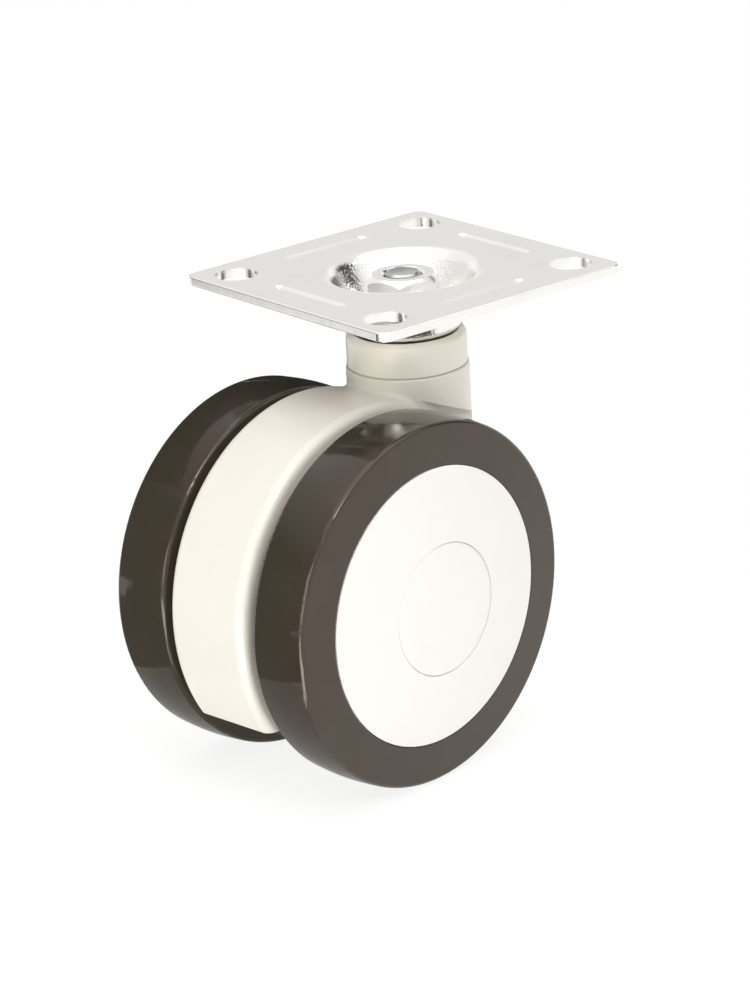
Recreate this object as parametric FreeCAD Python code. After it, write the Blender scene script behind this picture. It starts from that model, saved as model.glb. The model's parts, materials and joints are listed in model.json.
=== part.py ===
import FreeCAD
import Part

import math
import os

# Twin wheel swivel caster with a bolt-on top plate.
# Frame: origin on the plate's top face where the swivel axis leaves it, +Z up,
# plate sides along X and Y. The fork trails towards -X, turned by park_angle.
# All sizes are in millimetres and degrees.

# Top plate, a pressed sheet
plate_length = 64.5
plate_width = 64.5
plate_thickness = 2.0
plate_corner_radius = 2.5
plate_edge_round = 0.35
bolt_edge_x = 7.25
bolt_edge_y = 8.25
bolt_hole_diameter = 9.0
bead_length = 22.0
bead_width = 2.4
bead_depth = 0.5
bead_edge_x = 7.25
bead_edge_y = 7.25

# Dish pressed into the plate's middle
dish_depth = 13.2
dish_mouth_radius = 15.6
dish_mouth_round = 3.5
dish_floor_round = 1.2
dish_floor_margin = 1.9

# King pin with its nut and washers
pin_thread_diameter = 8.0
pin_shank_diameter = 10.0
pin_end_chamfer = 0.8
pin_tail_length = 1.6
nut_across_flats = 14.0
nut_height = 6.8
nut_chamfer_angle = 38.0
nut_face_share = 0.92
nut_bore_chamfer = 0.5
nut_turn = 44.0
pin_stand_out = 0.4
plain_washer_diameter = 15.6
plain_washer_thickness = 1.6
spring_washer_diameter = 13.6
spring_washer_thickness = 2.0
spring_washer_slit = 1.0
spring_washer_slit_angle = 25.0
bush_wall = 2.0
bush_length = 21.0
bore_end_room = 1.0
thrust_washer_thickness = 0.8
thrust_washer_width = 1.6
clip_thickness = 1.0
clip_width = 1.5
clip_groove_depth = 0.5
clip_gap_angle = 50.0
clip_lug_radius = 0.9
clip_lug_hole_radius = 0.45

# Swivel ball race
swivel_ball_diameter = 3.0
swivel_ball_count = 10
swivel_pitch_radius = 8.0
swivel_race_land = 2.65
swivel_race_thickness = 1.6
swivel_race_gap = 2.0
swivel_cage_thickness = 0.8
swivel_cage_width = 4.4

# Dust collar and neck
collar_wall = 1.55
collar_round = 1.45
collar_nest = 0.4
collar_gap = 0.3
collar_seam_height = 0.35
collar_seam_depth = 0.7
neck_step = 0.3
neck_top_round = 0.5
neck_fillet = 1.0
neck_flank_gap = 2.3
neck_flank_slope = 22.5
spigot_height = 1.7

# Housing between the wheels
trail = 24.0
wheel_head_room = 2.2
hood_half_width = 10.4
hood_stand_out = 0.4
hood_edge_round = 2.0
hood_floor_drop = 21.2
hood_wall = 2.6
hood_side_wall = 2.2
hood_web = 2.4
hood_rib = 1.8
hood_rib_count = 2
axle_boss_wall = 4.5
pin_boss_floor = 3.0
park_angle = 6.8

# Wheels
wheel_diameter = 77.4
wheel_width = 15.3
wheel_gap = 1.6
tyre_thickness = 9.3
tyre_shoulder = 0.8
tyre_edge_round = 1.0
tread_crown = 0.6
tread_crown_round = 45.0
tyre_face_round = 0.3
key_height = 1.6
key_width = 5.0
key_taper = 0.6
core_recess = 0.3
rim_wall = 3.0
hub_wall = 2.6
hub_overhang = 1.0
core_web = 2.4
core_fillet = 0.9
core_shoulder = 1.4
core_rib = 1.8
core_rib_count = 6
core_rib_drop = 1.5

# Hub covers and centre caps
cover_edge = 2.0
cover_dome = 3.3
cover_wall = 1.8
cover_gap = 0.12
cover_skirt_depth = 2.6
cover_skirt_wall = 1.2
cap_radius = 14.0
cap_seat_width = 1.8
cap_seat_depth = 0.9
cap_gap = 0.12
cap_spigot_wall = 1.2
cap_spigot_depth = 2.6

# Axle and wheel bearings
axle_diameter = 8.0
axle_chamfer = 0.8
axle_tail_length = 1.5
spacer_wall = 2.0
bearing_outer_diameter = 22.0
bearing_width = 7.0
bearing_ring_wall = 2.0
bearing_ball_diameter = 3.97
bearing_ball_count = 7
bearing_cage_width = 1.6
bearing_cage_back = 0.7
bearing_cage_reach = 0.8
bearing_edge_round = 0.4
shield_thickness = 0.3
shield_inset = 0.15
shield_gap = 0.2

# Clearances
seat_gap = 0.03
run_gap = 0.05
ball_gap = 0.07
axial_play = 0.1

V = FreeCAD.Vector
ORIGIN = V(0, 0, 0)
X_AXIS = V(1, 0, 0)
Y_AXIS = V(0, 1, 0)
Z_AXIS = V(0, 0, 1)

# Levels down the swivel axis
dish_floor_level = plate_thickness - dish_depth
dish_under_level = -dish_depth
plain_washer_level = dish_floor_level + plain_washer_thickness
spring_washer_level = plain_washer_level + spring_washer_thickness
nut_level = spring_washer_level + nut_height
upper_race_level = dish_under_level - swivel_race_thickness
swivel_ball_level = upper_race_level - swivel_race_gap / 2
lower_race_top_level = upper_race_level - swivel_race_gap
lower_race_level = lower_race_top_level - swivel_race_thickness
neck_level = lower_race_level - spigot_height
collar_top_level = dish_under_level + collar_nest
bush_top_level = lower_race_level - axial_play
bush_level = bush_top_level - bush_length
thrust_washer_top_level = bush_level - axial_play
clip_top_level = thrust_washer_top_level - thrust_washer_thickness
clip_level = clip_top_level - clip_thickness
pin_end_level = clip_level - pin_tail_length
pin_bore_level = pin_end_level - bore_end_room

# Radii about the swivel axis
pin_thread_radius = pin_thread_diameter / 2
pin_shank_radius = pin_shank_diameter / 2
bush_radius = pin_shank_radius + run_gap + bush_wall
plain_washer_radius = plain_washer_diameter / 2
dish_floor_radius = plain_washer_radius + dish_floor_margin
dish_lean = math.atan2(dish_mouth_radius - dish_floor_radius, -dish_floor_level)
dish_miter = plate_thickness * math.tan((math.pi / 2 - dish_lean) / 2)
dish_under_floor_radius = dish_floor_radius + dish_miter
dish_under_mouth_radius = dish_mouth_radius + dish_miter
dish_under_round = dish_floor_round + plate_thickness
dish_round_centre = dish_under_floor_radius - dish_under_round * math.tan((math.pi / 2 - dish_lean) / 2)
dish_flange_radius = dish_mouth_radius + dish_mouth_round + plate_thickness
swivel_ball_radius = swivel_ball_diameter / 2
collar_mouth_reach = (dish_under_round + collar_gap) ** 2 - (dish_under_round - collar_nest) ** 2
collar_dish_radius = dish_round_centre + math.sqrt(collar_mouth_reach)
swivel_race_radius = swivel_pitch_radius + swivel_race_land
collar_inner_radius = max(collar_dish_radius, swivel_race_radius + collar_gap)
collar_outer_radius = collar_inner_radius + collar_wall
neck_radius = collar_outer_radius + neck_step

# Axle line and wheel stations, counted outwards from the caster's middle plane
wheel_radius = wheel_diameter / 2
axle_level = neck_level - wheel_head_room - wheel_radius
axle_radius = axle_diameter / 2
axle_boss_radius = axle_radius + axle_boss_wall
hood_radius = wheel_radius + hood_stand_out
hood_floor_level = axle_level - hood_floor_drop
wheel_inner = hood_half_width + wheel_gap
wheel_outer = wheel_inner + wheel_width
bearing_inner = wheel_inner + core_web
bearing_outer = bearing_inner + bearing_width
bearing_middle = (bearing_inner + bearing_outer) / 2
bearing_radius = bearing_outer_diameter / 2
bearing_pitch_radius = (axle_radius + bearing_radius) / 2
bearing_ball_radius = bearing_ball_diameter / 2
inner_ring_radius = axle_radius + bearing_ring_wall
outer_ring_radius = bearing_radius - bearing_ring_wall
axle_clip_inner = bearing_outer + axial_play
axle_clip_outer = axle_clip_inner + clip_thickness
axle_end = axle_clip_outer + axle_tail_length
tread_slope = math.atan2(tread_crown, wheel_width / 2 - tyre_shoulder)
tread_ridge_radius = wheel_radius + tread_crown_round * (1 / math.cos(tread_slope) - 1)
tread_edge_radius = tread_ridge_radius - tread_crown
rim_radius = wheel_radius - tyre_thickness
rim_inner_radius = rim_radius - rim_wall
hub_radius = bearing_radius + seat_gap + hub_wall
hub_outer = bearing_outer + hub_overhang
cover_radius = rim_radius - cover_gap
cover_seat = wheel_outer - cover_edge
dome_radius = (cover_radius ** 2 + cover_dome ** 2) / (2 * cover_dome)
cap_hole_radius = cap_radius - cap_seat_width


def outline(corners):
    """Closed wire in the XZ plane through corners (x, z) or (x, z, rounding radius)."""
    places = [V(corner[0], 0, corner[1]) for corner in corners]
    rounds = [corner[2] if len(corner) > 2 else 0 for corner in corners]
    starts = []
    ends = []
    arcs = []
    for index, here in enumerate(places):
        back = (places[index - 1] - here).normalize()
        ahead = (places[(index + 1) % len(places)] - here).normalize()
        if rounds[index] == 0:
            starts.append(here)
            ends.append(here)
            arcs.append(None)
            continue
        half_angle = back.getAngle(ahead) / 2
        setback = rounds[index] / math.tan(half_angle)
        inward = (back + ahead).normalize()
        middle = here + inward * (rounds[index] / math.sin(half_angle) - rounds[index])
        starts.append(here + back * setback)
        ends.append(here + ahead * setback)
        arcs.append(Part.Arc(starts[-1], middle, ends[-1]).toShape())
    edges = []
    for index in range(len(places)):
        edges.append(Part.makeLine(ends[index - 1], starts[index]))
        if arcs[index]:
            edges.append(arcs[index])
    return Part.Wire(edges)


def turned(corners):
    """Solid of revolution about Z from (radius, height[, rounding]) corners."""
    return Part.Face(outline(corners)).revolve(ORIGIN, Z_AXIS, 360)


def tube(inner, outer, low, high, edge_round=0):
    """Round ring between two radii and two heights, all four edges rounded."""
    return turned([
        (inner, low, edge_round),
        (outer, low, edge_round),
        (outer, high, edge_round),
        (inner, high, edge_round),
    ])


def rod(radius, low, high):
    """Plain cylinder about Z between two heights."""
    return Part.makeCylinder(radius, high - low, V(0, 0, low))


def cross_rod(radius, low, high):
    """Plain cylinder about the axle line, between two stations along Y."""
    return Part.makeCylinder(radius, high - low, V(-trail, low, axle_level), Y_AXIS)


def block(low, high):
    """Box between two opposite corners."""
    return Part.makeBox(high.x - low.x, high.y - low.y, high.z - low.z, low)


def around(shape, count):
    """Copies of a shape spread evenly about Z."""
    copies = []
    for index in range(count):
        copy = shape.copy()
        copy.rotate(ORIGIN, Z_AXIS, 360 * index / count)
        copies.append(copy)
    return copies


def ball_ring(ball_radius, pitch_radius, level, count):
    """Separate balls on a pitch circle about Z."""
    ball = Part.makeSphere(ball_radius, V(pitch_radius, 0, level))
    return around(ball, count)


def parked(shape):
    """A fork piece turned to where the fork stands parked under the plate."""
    placed = shape.copy()
    placed.rotate(ORIGIN, Z_AXIS, park_angle)
    return placed


def on_axle(shape, side):
    """A piece modelled about Z moved onto the axle; side is 1 for left, -1 for right."""
    placed = shape.copy()
    placed.rotate(ORIGIN, X_AXIS, -90 * side)
    placed.translate(V(-trail, 0, axle_level))
    return parked(placed)


def retaining_clip(shaft_radius, low):
    """External retaining ring with two drilled lugs beside its gap."""
    groove_radius = shaft_radius - clip_groove_depth
    inner = groove_radius + seat_gap
    outer = inner + clip_width
    lug_radius = (inner + outer) / 2 + clip_lug_radius / 2
    ring = tube(inner, outer, low, low + clip_thickness)
    holes = []
    for turn in (-1, 1):
        angle = math.radians(turn * (clip_gap_angle / 2 + math.degrees(clip_lug_radius / lug_radius)))
        centre = V(lug_radius * math.cos(angle), lug_radius * math.sin(angle), low)
        ring = ring.fuse(Part.makeCylinder(clip_lug_radius, clip_thickness, centre))
        holes.append(Part.makeCylinder(clip_lug_hole_radius, clip_thickness, centre))
    reach = outer + 2 * clip_lug_radius
    spread = reach * math.tan(math.radians(clip_gap_angle / 2))
    wedge = Part.makePolygon([V(0, 0, low), V(reach, -spread, low), V(reach, spread, low), V(0, 0, low)])
    gap = Part.Face(wedge).extrude(V(0, 0, clip_thickness))
    shaft_room = rod(inner, low, low + clip_thickness)
    return ring.cut([gap, shaft_room] + holes).removeSplitter()


def dish():
    """Dished middle of the plate, one sheet thickness all through, with the pin hole."""
    hole = pin_thread_radius + axial_play
    return turned([
        (dish_flange_radius, 0),
        (dish_mouth_radius, 0, dish_mouth_round),
        (dish_floor_radius, dish_floor_level, dish_floor_round),
        (hole, dish_floor_level),
        (hole, dish_under_level),
        (dish_under_floor_radius, dish_under_level, dish_under_round),
        (dish_under_mouth_radius, -plate_thickness, dish_mouth_round - plate_thickness),
        (dish_flange_radius, -plate_thickness),
    ])


def bead(radius, level):
    """Bar with ball ends along Y, one pressed stiffening bead."""
    straight = bead_length - bead_width
    bar = Part.makeCylinder(radius, straight, V(0, -straight / 2, level), Y_AXIS)
    ends = [Part.makeSphere(radius, V(0, end * straight / 2, level)) for end in (-1, 1)]
    return bar.fuse(ends).removeSplitter()


def beads(radius, level):
    """The four beads, one beside each side of the plate."""
    placed = []
    for turn in (0, 90, 180, 270):
        copy = bead(radius, level)
        offset = plate_width / 2 - bead_edge_y if turn % 180 else plate_length / 2 - bead_edge_x
        copy.translate(V(offset, 0, 0))
        copy.rotate(ORIGIN, Z_AXIS, turn)
        placed.append(copy)
    return placed


def top_plate():
    """Pressed plate: dish, bolt holes and beads sunk in the top, raised below."""
    half_x = plate_length / 2
    half_y = plate_width / 2
    signs = ((-1, -1), (1, -1), (1, 1), (-1, 1))
    sheet = outline([(x * half_x, y * half_y, plate_corner_radius) for x, y in signs])
    sheet.rotate(ORIGIN, X_AXIS, -90)
    slab = Part.Face(sheet).extrude(V(0, 0, -plate_thickness))
    rims = [edge for edge in slab.Edges if edge.BoundBox.ZLength < plate_edge_round]
    slab = slab.makeFillet(plate_edge_round, rims)
    slab = slab.cut(rod(dish_flange_radius, -plate_thickness, 0))
    bead_radius = (bead_width ** 2 / 4 + bead_depth ** 2) / (2 * bead_depth)
    bead_level = bead_radius - bead_depth
    plate = slab.fuse(dish()).removeSplitter()
    above = block(
        V(-plate_length, -plate_width, -plate_thickness / 2),
        V(plate_length, plate_width, 2 * bead_radius),
    )
    raised = [tool.cut(above) for tool in beads(bead_radius, bead_level - plate_thickness)]
    plate = plate.fuse(raised).removeSplitter()
    holes = []
    for x, y in signs:
        hole = rod(bolt_hole_diameter / 2, -plate_thickness, 0)
        hole.translate(V(x * (half_x - bolt_edge_x), y * (half_y - bolt_edge_y), 0))
        holes.append(hole)
    return plate.cut(holes + beads(bead_radius, bead_level))


def king_nut():
    """Hexagon nut, its corners and bore chamfered on both faces."""
    low = spring_washer_level
    corner = nut_across_flats / math.sqrt(3)
    ring = []
    for index in range(7):
        angle = math.radians(nut_turn + 60 * index)
        ring.append(V(corner * math.cos(angle), corner * math.sin(angle), low))
    prism = Part.Face(Part.makePolygon(ring)).extrude(V(0, 0, nut_height))
    face_radius = nut_face_share * nut_across_flats / 2
    drop = (corner - face_radius) * math.tan(math.radians(nut_chamfer_angle))
    bore = pin_thread_radius + run_gap
    chamfered = turned([
        (bore, low + nut_bore_chamfer),
        (bore + nut_bore_chamfer, low),
        (face_radius, low),
        (corner, low + drop),
        (corner, nut_level - drop),
        (face_radius, nut_level),
        (bore + nut_bore_chamfer, nut_level),
        (bore, nut_level - nut_bore_chamfer),
    ])
    return prism.common(chamfered)


def plain_washer():
    """Flat washer on the dish's floor."""
    return tube(pin_thread_radius + axial_play, plain_washer_radius, dish_floor_level, plain_washer_level)


def spring_washer():
    """Split ring, drawn pressed flat, with its slanted slit."""
    low = plain_washer_level
    outer = spring_washer_diameter / 2
    ring = tube(pin_thread_radius + axial_play, outer, low, spring_washer_level)
    slit = Part.makeBox(outer, spring_washer_slit, 3 * spring_washer_thickness,
                        V(0, -spring_washer_slit / 2, low - spring_washer_thickness))
    slit.rotate(V(outer, 0, low + spring_washer_thickness / 2), X_AXIS, spring_washer_slit_angle)
    return ring.cut(slit)


def king_pin():
    """Turned pin: threaded top through the dish, shank below, clip groove near its end."""
    groove = pin_shank_radius - clip_groove_depth
    return turned([
        (0, nut_level + pin_stand_out),
        (pin_thread_radius - pin_end_chamfer, nut_level + pin_stand_out),
        (pin_thread_radius, nut_level + pin_stand_out - pin_end_chamfer),
        (pin_thread_radius, dish_under_level),
        (pin_shank_radius, dish_under_level),
        (pin_shank_radius, clip_top_level),
        (groove, clip_top_level),
        (groove, clip_level),
        (pin_shank_radius, clip_level),
        (pin_shank_radius, pin_end_level + pin_end_chamfer),
        (pin_shank_radius - pin_end_chamfer, pin_end_level),
        (0, pin_end_level),
    ])


def thrust_washer():
    """Washer between the bush and the pin's clip, it holds the fork up."""
    inner = pin_shank_radius + run_gap
    outer = pin_shank_radius + thrust_washer_width
    return tube(inner, outer, clip_top_level, thrust_washer_top_level)


def swivel_groove():
    """Ring tool that cuts the ball track into both swivel races."""
    return Part.makeTorus(swivel_pitch_radius, swivel_ball_radius + ball_gap, V(0, 0, swivel_ball_level))


def upper_race():
    """Ball track washer centred on the king pin, under the dish."""
    inner = pin_shank_radius + seat_gap
    outer = swivel_race_radius
    return tube(inner, outer, upper_race_level, dish_under_level).cut(swivel_groove())


def lower_race():
    """Ball track washer centred in the collar, on the neck's spigot."""
    inner = pin_shank_radius + collar_gap
    outer = collar_inner_radius - seat_gap
    return tube(inner, outer, lower_race_level, lower_race_top_level).cut(swivel_groove())


def swivel_cage():
    """Flat ring that spaces the swivel balls."""
    low = swivel_ball_level - swivel_cage_thickness / 2
    high = swivel_ball_level + swivel_cage_thickness / 2
    half = swivel_cage_width / 2
    ring = tube(swivel_pitch_radius - half, swivel_pitch_radius + half, low, high)
    hole = rod(swivel_ball_radius + ball_gap, low, high)
    hole.translate(V(swivel_pitch_radius, 0, 0))
    return ring.cut(around(hole, swivel_ball_count))


def swivel_collar():
    """Dust ring that stands on the neck, over a shadow seam, and hides the ball race."""
    return turned([
        (collar_inner_radius, neck_level),
        (collar_outer_radius - collar_seam_depth, neck_level),
        (collar_outer_radius - collar_seam_depth, neck_level + collar_seam_height),
        (collar_outer_radius, neck_level + collar_seam_height),
        (collar_outer_radius, collar_top_level, collar_round),
        (collar_inner_radius, collar_top_level),
    ])


def neck():
    """Neck column with the collar's spigot, its flanks cut back over the wheels."""
    spigot_radius = collar_inner_radius - seat_gap
    column = turned([
        (0, axle_level),
        (neck_radius, axle_level),
        (neck_radius, neck_level, neck_top_round),
        (spigot_radius, neck_level),
        (spigot_radius, lower_race_level),
        (0, lower_race_level),
    ])
    flank_level = axle_level + math.sqrt((wheel_radius + neck_flank_gap) ** 2 - trail ** 2)
    flank_fall = 2 * neck_radius * math.tan(math.radians(neck_flank_slope))
    flank = outline([
        (-2 * neck_radius, flank_level + flank_fall),
        (2 * neck_radius, flank_level - flank_fall),
        (2 * neck_radius, axle_level - neck_radius),
        (-2 * neck_radius, axle_level - neck_radius),
    ])
    flanks = []
    for side in (-1, 1):
        tool = Part.Face(flank).extrude(V(0, side * neck_radius, 0))
        tool.translate(V(0, side * hood_half_width, 0))
        flanks.append(tool)
    return column.cut(flanks)


def hood():
    """Drum about the axle line with rounded edges and a flat cut underneath."""
    drum = turned([
        (0, -hood_half_width),
        (hood_radius, -hood_half_width, hood_edge_round),
        (hood_radius, hood_half_width, hood_edge_round),
        (0, hood_half_width),
    ])
    drum.rotate(ORIGIN, X_AXIS, -90)
    drum.translate(V(-trail, 0, axle_level))
    below = block(
        V(-trail - hood_radius, -hood_half_width, axle_level - hood_radius),
        V(-trail + hood_radius, hood_half_width, hood_floor_level),
    )
    return drum.cut(below)


def is_neck_root(edge):
    """Whether an edge is the inside corner where the back of the neck meets the hood."""
    middle = edge.valueAt((edge.FirstParameter + edge.LastParameter) / 2)
    on_neck = abs(math.hypot(middle.x, middle.y) - neck_radius) < seat_gap
    on_hood = abs(math.hypot(middle.x + trail, middle.z - axle_level) - hood_radius) < hood_edge_round
    between_sides = abs(middle.y) < hood_half_width - seat_gap
    return on_neck and on_hood and between_sides and middle.x < 0


def core_pockets():
    """Hollows moulded up from the hood's flat underside, left and right of a middle web."""
    inner = hood_radius - hood_wall
    boss_room = axle_boss_radius
    keep = [
        cross_rod(boss_room, -hood_half_width, hood_half_width),
        block(
            V(-trail - boss_room, -hood_half_width, axle_level),
            V(-trail + boss_room, hood_half_width, axle_level + hood_radius),
        ),
        rod(neck_radius, pin_bore_level - pin_boss_floor, neck_level),
    ]
    rib_step = (inner - boss_room) / hood_rib_count
    for index in range(1, hood_rib_count):
        for end in (-1, 1):
            middle = -trail + end * (boss_room + index * rib_step)
            keep.append(block(
                V(middle - hood_rib / 2, -hood_half_width, axle_level - hood_radius),
                V(middle + hood_rib / 2, hood_half_width, axle_level + hood_radius),
            ))
    pockets = []
    for low, high in ((hood_web / 2, hood_half_width - hood_side_wall),
                      (hood_side_wall - hood_half_width, -hood_web / 2)):
        pockets.append(cross_rod(inner, low, high).cut(keep))
    return pockets


def caster_housing():
    """Moulded hood and neck in one piece, with the pin's blind bore and the axle bore."""
    body = hood().fuse(neck()).removeSplitter()
    roots = [edge for edge in body.Edges if is_neck_root(edge)]
    body = body.makeFillet(neck_fillet, roots)
    pin_bore = rod(bush_radius + seat_gap, pin_bore_level, lower_race_level)
    axle_bore = cross_rod(axle_radius + seat_gap, -hood_half_width, hood_half_width)
    return body.cut(core_pockets() + [pin_bore, axle_bore])


def axle():
    """Straight axle with a clip groove at each end, modelled about Z."""
    groove = axle_radius - clip_groove_depth
    half = [
        (axle_radius, axle_clip_inner),
        (groove, axle_clip_inner),
        (groove, axle_clip_outer),
        (axle_radius, axle_clip_outer),
        (axle_radius, axle_end - axle_chamfer),
        (axle_radius - axle_chamfer, axle_end),
        (0, axle_end),
    ]
    other_half = [(radius, -station) for radius, station in reversed(half)]
    return turned(half + other_half)


def axle_spacer():
    """Sleeve between the housing and the bearing's inner race."""
    return tube(axle_radius + seat_gap, axle_radius + spacer_wall, hood_half_width, bearing_inner)


def tyre():
    """Tyre ring with a crowned tread, leaning sides and a groove that grips the rim's key."""
    bore = rim_radius + seat_gap
    middle = (wheel_inner + wheel_outer) / 2
    half_key = key_width / 2 + seat_gap
    return turned([
        (bore, wheel_inner, tyre_face_round),
        (tread_edge_radius, wheel_inner + tyre_shoulder, tyre_edge_round),
        (tread_ridge_radius, middle, tread_crown_round),
        (tread_edge_radius, wheel_outer - tyre_shoulder, tyre_edge_round),
        (bore, wheel_outer, tyre_face_round),
        (bore, middle + half_key),
        (bore + key_height, middle + half_key - key_taper),
        (bore + key_height, middle - half_key + key_taper),
        (bore, middle - half_key),
    ])


def wheel_core():
    """Moulded wheel body: rim with key, web, bearing hub and ribs."""
    face = wheel_inner + core_recess
    middle = (wheel_inner + wheel_outer) / 2
    half_key = key_width / 2
    seat = bearing_radius + seat_gap
    body = turned([
        (bearing_radius - core_shoulder, face),
        (rim_radius, face),
        (rim_radius, middle - half_key),
        (rim_radius + key_height, middle - half_key + key_taper),
        (rim_radius + key_height, middle + half_key - key_taper),
        (rim_radius, middle + half_key),
        (rim_radius, cover_seat),
        (rim_inner_radius, cover_seat),
        (rim_inner_radius, bearing_inner, core_fillet),
        (hub_radius, bearing_inner, core_fillet),
        (hub_radius, hub_outer),
        (seat, hub_outer),
        (seat, bearing_inner),
        (bearing_radius - core_shoulder, bearing_inner),
    ])
    rib_high = cover_seat - cover_skirt_depth - core_rib_drop
    rib = block(
        V(hub_radius - hub_wall / 2, -core_rib / 2, bearing_inner - core_web / 2),
        V(rim_inner_radius + rim_wall / 2, core_rib / 2, rib_high),
    )
    return body.fuse(around(rib, core_rib_count)).removeSplitter()


def dome(radius, depth=0):
    """Station of the hub cover's dome at a radius, or of its inside at a depth below."""
    centre = wheel_outer + cover_dome - dome_radius
    return centre + math.sqrt((dome_radius - depth) ** 2 - radius ** 2)


def dome_arc(start, end, depth=0):
    """Edge along the dome between two radii."""
    places = [V(radius, 0, dome(radius, depth)) for radius in (start, (start + end) / 2, end)]
    return Part.Arc(*places).toShape()


def dome_turned(arcs, corners):
    """Solid turned from dome edges joined by straight runs through corners, in order."""
    wire_edges = []
    for arc, run in zip(arcs, corners):
        wire_edges.append(arc)
        places = [V(radius, 0, station) for radius, station in run]
        wire_edges += [Part.makeLine(places[index], places[index + 1]) for index in range(len(places) - 1)]
    return Part.Face(Part.Wire(wire_edges)).revolve(ORIGIN, Z_AXIS, 360)


def hub_cover():
    """Domed cover with a skirt that plugs into the rim and a seat for the centre cap."""
    seat = dome(cap_radius) - cap_seat_depth
    skirt = rim_inner_radius - seat_gap
    skirt_inner = skirt - cover_skirt_wall
    return dome_turned(
        [dome_arc(cover_radius, cap_radius), dome_arc(cap_hole_radius, skirt_inner, cover_wall)],
        [
            [(cap_radius, dome(cap_radius)), (cap_radius, seat), (cap_hole_radius, seat),
             (cap_hole_radius, dome(cap_hole_radius, cover_wall))],
            [(skirt_inner, dome(skirt_inner, cover_wall)), (skirt_inner, cover_seat - cover_skirt_depth),
             (skirt, cover_seat - cover_skirt_depth), (skirt, cover_seat), (cover_radius, cover_seat),
             (cover_radius, dome(cover_radius))],
        ],
    )


def centre_cap():
    """Cap flush with the dome, its spigot plugged into the hub cover."""
    edge = cap_radius - cap_gap
    seat = dome(cap_radius) - cap_seat_depth
    spigot = cap_hole_radius - seat_gap
    spigot_inner = spigot - cap_spigot_wall
    return dome_turned(
        [dome_arc(0, edge)],
        [[(edge, dome(edge)), (edge, seat), (spigot, seat), (spigot, seat - cap_spigot_depth),
          (spigot_inner, seat - cap_spigot_depth), (spigot_inner, seat), (0, seat), (0, dome(0))]],
    )


def bearing_groove():
    """Ring tool that cuts the ball track into both bearing races."""
    return Part.makeTorus(bearing_pitch_radius, bearing_ball_radius + ball_gap, V(0, 0, bearing_middle))


def bearing_ring(inner, outer):
    """One bearing race with its ball track."""
    return tube(inner, outer, bearing_inner, bearing_outer, bearing_edge_round).cut(bearing_groove())


def bearing_shields():
    """Two thin shields held in the outer race, clear of the inner one."""
    low = bearing_inner + shield_inset
    high = bearing_outer - shield_inset
    inner = inner_ring_radius + shield_gap
    outer = outer_ring_radius - seat_gap
    return [
        tube(inner, outer, low, low + shield_thickness),
        tube(inner, outer, high - shield_thickness, high),
    ]


def bearing_cage():
    """Crown cage: a ring behind the balls with prongs between them."""
    low = bearing_middle - bearing_ball_radius - ball_gap - bearing_cage_back
    high = bearing_middle + bearing_cage_reach
    half = bearing_cage_width / 2
    ring = tube(bearing_pitch_radius - half, bearing_pitch_radius + half, low, high)
    pocket_radius = bearing_ball_radius + ball_gap
    return ring.cut(ball_ring(pocket_radius, bearing_pitch_radius, bearing_middle, bearing_ball_count))


solids = {
    "top_plate": top_plate(),
    "king_nut": king_nut(),
    "king_spring_washer": spring_washer(),
    "king_plain_washer": plain_washer(),
    "king_pin": king_pin(),
    "upper_race": upper_race(),
    "pin_thrust_washer": thrust_washer(),
    "pin_clip": retaining_clip(pin_shank_radius, clip_level),
    "swivel_balls": Part.makeCompound(
        ball_ring(swivel_ball_radius, swivel_pitch_radius, swivel_ball_level, swivel_ball_count)),
    "swivel_cage": swivel_cage(),
    "caster_housing": parked(caster_housing()),
    "swivel_collar": swivel_collar(),
    "lower_race": lower_race(),
    "king_pin_bush": tube(pin_shank_radius + run_gap, bush_radius, bush_level, bush_top_level),
    "axle": on_axle(axle(), 1),
}

for name, side in (("left", 1), ("right", -1)):
    wheel_pieces = {
        "axle_spacer": axle_spacer(),
        "axle_clip": retaining_clip(axle_radius, axle_clip_inner),
        "bearing_inner_race": bearing_ring(axle_radius + seat_gap, inner_ring_radius),
        "bearing_outer_race": bearing_ring(outer_ring_radius, bearing_radius),
        "bearing_shields": Part.makeCompound(bearing_shields()),
        "bearing_balls": Part.makeCompound(
            ball_ring(bearing_ball_radius, bearing_pitch_radius, bearing_middle, bearing_ball_count)),
        "bearing_cage": bearing_cage(),
        "wheel_core": wheel_core(),
        "tyre": tyre(),
        "hub_cover": hub_cover(),
        "centre_cap": centre_cap(),
    }
    for piece, shape in wheel_pieces.items():
        solids[name + "_" + piece] = on_axle(shape, side)

os.makedirs("parts", exist_ok=True)
for node, shape in solids.items():
    shape.exportStep("parts/" + node + ".step")
    print(node, shape.isValid(), len(shape.Solids), round(shape.Volume, 1))
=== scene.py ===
"""Studio scene of a twin wheel swivel caster.

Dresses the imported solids, cuts the king pin's thread, caps the hubs, and lights
the caster as the photo shows it.
"""

import json
import logging
import math
from dataclasses import dataclass, field
from enum import Enum

import bpy
from mathutils import Matrix, Vector


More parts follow.
